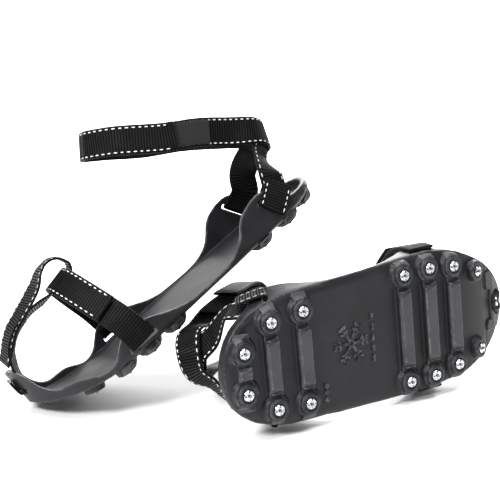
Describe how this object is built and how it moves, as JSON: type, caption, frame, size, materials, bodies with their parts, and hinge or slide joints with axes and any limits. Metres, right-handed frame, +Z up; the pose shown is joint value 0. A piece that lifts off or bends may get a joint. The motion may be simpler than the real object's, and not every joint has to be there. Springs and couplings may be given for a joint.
{
  "type": "pair of shoe ice cleats",
  "caption": "Pull-on rubber overshoes with metal ice studs under the sole and hook-and-loop straps over the toe cap, forefoot and ankle.",
  "frame": {"origin": "on the floor under the middle of the pair", "axes": "+Z up; +X to the right along the longest overall extent and +Y away, as the pair stands; the right cleat lies on its inner side and the left cleat stands on its toe"},
  "size_m": [0.4444, 0.2348, 0.2388],
  "materials": {
    "rubber": "matte",
    "zinc": "satin",
    "carbide": "satin",
    "webbing": "woven",
    "hook_tape": "rough",
    "loop_tape": "brushed"
  },
  "bodies": {
    "right_cleat": {"right_overshoe_sole": "rubber", "right_studs": "zinc", "right_stud_tips": "carbide", "right_toe_strap_outer_half": "webbing", "right_toe_strap_inner_half": "webbing", "right_toe_loop_patch": "loop_tape", "right_ankle_strap_long": "webbing", "right_ankle_strap_short": "webbing", "right_ankle_loop_patch": "loop_tape", "right_toe_cap_strap": "webbing", "right_toe_cap_loop_patch": "loop_tape", "right_heel_strap_tails": "webbing", "right_forefoot_strap_tails": "webbing", "right_toe_cap_strap_tail": "webbing"},
    "right_toe_flap": {"right_toe_strap_flap": "webbing", "right_toe_hook_patch": "hook_tape"},
    "right_ankle_flap": {"right_ankle_strap_flap": "webbing", "right_ankle_hook_patch": "hook_tape"},
    "right_toe_cap_flap": {"right_toe_cap_strap_flap": "webbing", "right_toe_cap_hook_patch": "hook_tape"},
    "left_cleat": {"left_overshoe_sole": "rubber", "left_studs": "zinc", "left_stud_tips": "carbide", "left_toe_strap_outer_half": "webbing", "left_toe_strap_inner_half": "webbing", "left_toe_loop_patch": "loop_tape", "left_ankle_strap_long": "webbing", "left_ankle_strap_short": "webbing", "left_ankle_loop_patch": "loop_tape", "left_toe_cap_strap": "webbing", "left_toe_cap_loop_patch": "loop_tape", "left_heel_strap_tails": "webbing", "left_forefoot_strap_tails": "webbing", "left_toe_cap_strap_tail": "webbing"},
    "left_toe_flap": {"left_toe_strap_flap": "webbing", "left_toe_hook_patch": "hook_tape"},
    "left_ankle_flap": {"left_ankle_strap_flap": "webbing", "left_ankle_hook_patch": "hook_tape"},
    "left_toe_cap_flap": {"left_toe_cap_strap_flap": "webbing", "left_toe_cap_hook_patch": "hook_tape"}
  },
  "joints": [
    {"name": "left_cleat_lift", "type": "slide", "parent": "right_cleat", "child": "left_cleat", "axis": [0, 0, 1], "range_m": [0, 0.3]},
    {"name": "right_toe_flap_peel", "type": "hinge", "parent": "right_cleat", "child": "right_toe_flap", "pos_m": [0.11488, 0.07945, 0.07461], "axis": [-0.9306, -0.3544, -0.092], "range_deg": [0, 95]},
    {"name": "right_ankle_flap_peel", "type": "hinge", "parent": "right_cleat", "child": "right_ankle_flap", "pos_m": [0.00153, 0.09097, 0.05041], "axis": [-0.9366, 0.3179, -0.1477], "range_deg": [0, 6]},
    {"name": "right_toe_cap_flap_peel", "type": "hinge", "parent": "right_cleat", "child": "right_toe_cap_flap", "pos_m": [0.10384, 0.09308, 0.05759], "axis": [-0.0927, 0.071, 0.9932], "range_deg": [0, 100]},
    {"name": "left_toe_flap_peel", "type": "hinge", "parent": "left_cleat", "child": "left_toe_flap", "pos_m": [-0.17055, -0.02143, 0.11044], "axis": [-0.565, -0.4117, -0.715], "range_deg": [0, 95]},
    {"name": "left_ankle_flap_peel", "type": "hinge", "parent": "left_cleat", "child": "left_ankle_flap", "pos_m": [-0.15489, 0.0261, 0.21561], "axis": [0.0514, -0.2842, -0.9574], "range_deg": [0, 100]},
    {"name": "left_toe_cap_flap_peel", "type": "hinge", "parent": "left_cleat", "child": "left_toe_cap_flap", "pos_m": [-0.18513, -0.00652, 0.12318], "axis": [-0.3002, 0.9204, -0.2504], "range_deg": [0, 100]}
  ]
}
